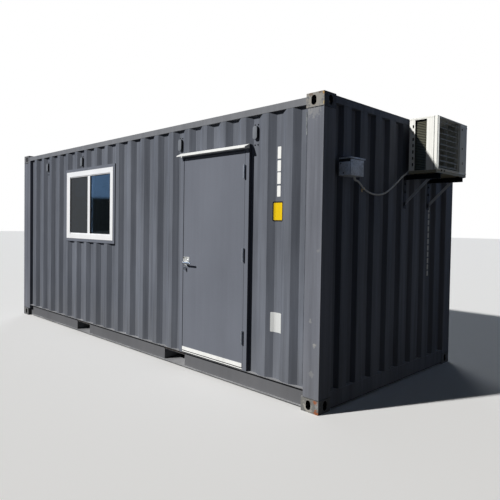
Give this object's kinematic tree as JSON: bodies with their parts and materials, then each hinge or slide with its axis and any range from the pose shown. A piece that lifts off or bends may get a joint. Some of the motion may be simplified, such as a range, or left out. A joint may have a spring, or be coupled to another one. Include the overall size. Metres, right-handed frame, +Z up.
{
  "type": "shipping container cabin",
  "caption": "Steel shipping container cabin with corrugated walls, a hinged personnel door, a sliding window and an air conditioner on a wall bracket.",
  "frame": {"origin": "on the ground at the middle of the container frame, midway between the slots of the bottom corner castings", "axes": "+X along the length towards the blind end with the air conditioner, +Y from the door and window side to the back, +Z up"},
  "size_m": [6.416, 2.504, 2.591],
  "materials": {
    "cast_paint": "grey paint on cast steel with rust spots",
    "container_paint": "satin mid grey paint",
    "plywood": "sealed plywood",
    "white_plastic": "white profile, slightly glossy",
    "window_glass": "clear glass",
    "white_paint": "white paint",
    "galvanised": "zinc coated steel",
    "stainless": "brushed stainless steel",
    "cream_paint": "off-white enamel",
    "coil_fins": "thin dull fins",
    "dark_paint": "dark paint",
    "conduit_plastic": "grey corrugated plastic",
    "tan_plastic": "tan plastic",
    "seal_rubber": "black rubber"
  },
  "bodies": {
    "cabin": {"bottom_castings": "cast_paint", "top_castings": "cast_paint", "corner_posts": "container_paint", "bottom_side_rails": "container_paint", "top_side_rails": "container_paint", "crossmembers": "container_paint", "fork_pockets": "container_paint", "floor_deck": "plywood", "blind_end_frame": "container_paint", "door_end_frame": "container_paint", "roof_panel": "container_paint", "front_wall_left": "container_paint", "front_wall_by_window": "container_paint", "front_wall_middle": "container_paint", "front_wall_over_door": "container_paint", "front_wall_right": "container_paint", "back_wall": "container_paint", "blind_end_wall": "container_paint", "wall_vents": "container_paint", "window_surround": "container_paint", "window_frame": "white_plastic", "window_sashes": "white_plastic", "window_glass": "window_glass", "door_frame": "container_paint", "door_stops": "container_paint", "door_canopy": "white_paint", "hinge_jamb_leaves": "galvanised", "ac_casing": "cream_paint", "ac_coil": "coil_fins", "ac_grille": "dark_paint", "ac_brackets": "dark_paint", "junction_box": "galvanised", "conduit": "conduit_plastic", "conduit_elbows": "conduit_plastic", "conduit_clip": "tan_plastic", "cargo_doors": "container_paint", "cargo_door_gaskets": "seal_rubber", "cargo_door_hinges": "container_paint", "cargo_lock_rods": "galvanised", "cargo_rod_brackets": "container_paint"},
    "door": {"door_leaf": "container_paint", "door_sweep": "white_paint", "hinge_door_leaves": "galvanised", "lock_roses": "stainless"},
    "lever": {"lever_handle": "stainless"}
  },
  "joints": [
    {"name": "door_hinge", "type": "hinge", "parent": "cabin", "child": "door", "pos_m": [2.1555, -1.234, 1.2], "axis": [0, 0, 1], "range_deg": [0, 110]},
    {"name": "lever_turn", "type": "hinge", "parent": "door", "child": "lever", "pos_m": [1.317, -1.2, 1.124], "axis": [0, 1, 0], "range_deg": [0, 45], "stiffness_Nm_per_rad": 2, "springref_deg": -28.65}
  ]
}
